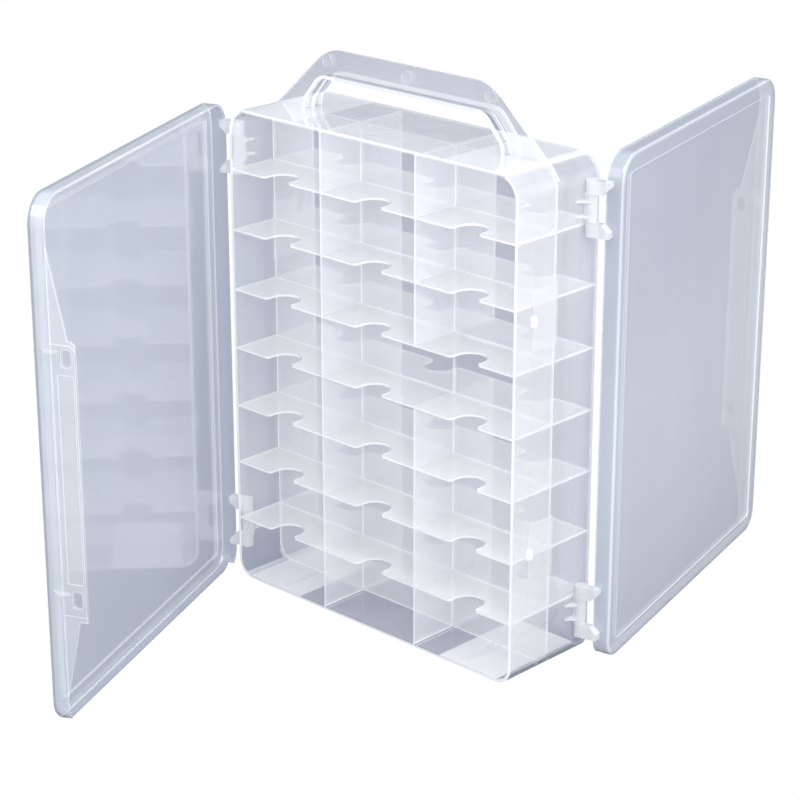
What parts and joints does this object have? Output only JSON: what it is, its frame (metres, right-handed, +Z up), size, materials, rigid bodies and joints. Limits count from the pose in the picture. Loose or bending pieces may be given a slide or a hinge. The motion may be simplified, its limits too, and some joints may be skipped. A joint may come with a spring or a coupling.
{
  "type": "double-sided sewing box with trays",
  "caption": "Upright translucent sewing box with open compartments on both sides, a top carrying handle and two latching side-hinged doors.",
  "frame": {"origin": "centre of the case's flat underside, on the line of the centre partition", "axes": "+X to the right along the case's width, -Y out of the front compartments, +Z up. The front door hinges on the left (-X) side wall and the back door on the right (+X) one. At rest the front door stands 66 degrees open and the back door 75 degrees open."},
  "size_m": [0.3265, 0.61, 0.4158],
  "materials": {
    "clear_plastic": "translucent natural polypropylene, glossy",
    "door_plastic": "translucent natural polypropylene, glossy, faintly blue-grey",
    "handle_plastic": "translucent natural polypropylene, satin",
    "hinge_plastic": "thick natural polypropylene, milky white"
  },
  "bodies": {
    "case": {"case_shell": "clear_plastic", "centre_partition": "clear_plastic", "handle": "handle_plastic", "floor_ribs": "clear_plastic", "front_shelf_1": "clear_plastic", "front_shelf_2": "clear_plastic", "front_shelf_3": "clear_plastic", "front_shelf_4": "clear_plastic", "front_shelf_5": "clear_plastic", "front_shelf_6": "clear_plastic", "front_shelf_7": "clear_plastic", "front_left_divider": "clear_plastic", "front_right_divider": "clear_plastic", "front_latch_catches": "hinge_plastic", "front_lower_hinge_lug": "hinge_plastic", "front_upper_hinge_lug": "hinge_plastic", "back_shelf_1": "clear_plastic", "back_shelf_2": "clear_plastic", "back_shelf_3": "clear_plastic", "back_shelf_4": "clear_plastic", "back_shelf_5": "clear_plastic", "back_shelf_6": "clear_plastic", "back_shelf_7": "clear_plastic", "back_left_divider": "clear_plastic", "back_right_divider": "clear_plastic", "back_latch_catches": "hinge_plastic", "back_lower_hinge_lug": "hinge_plastic", "back_upper_hinge_lug": "hinge_plastic"},
    "front_door": {"front_door_cover": "door_plastic", "front_latch_flap": "door_plastic", "front_lower_hinge_knuckles": "hinge_plastic", "front_upper_hinge_knuckles": "hinge_plastic"},
    "back_door": {"back_door_cover": "door_plastic", "back_latch_flap": "door_plastic", "back_lower_hinge_knuckles": "hinge_plastic", "back_upper_hinge_knuckles": "hinge_plastic"}
  },
  "joints": [
    {"name": "front_door_hinge", "type": "hinge", "parent": "case", "child": "front_door", "pos_m": [-0.1448, -0.0282, 0.18725], "axis": [0, 0, 1], "range_deg": [-114, 66]},
    {"name": "back_door_hinge", "type": "hinge", "parent": "case", "child": "back_door", "pos_m": [0.1448, 0.0282, 0.18725], "axis": [0, 0, 1], "range_deg": [-105, 75]}
  ]
}
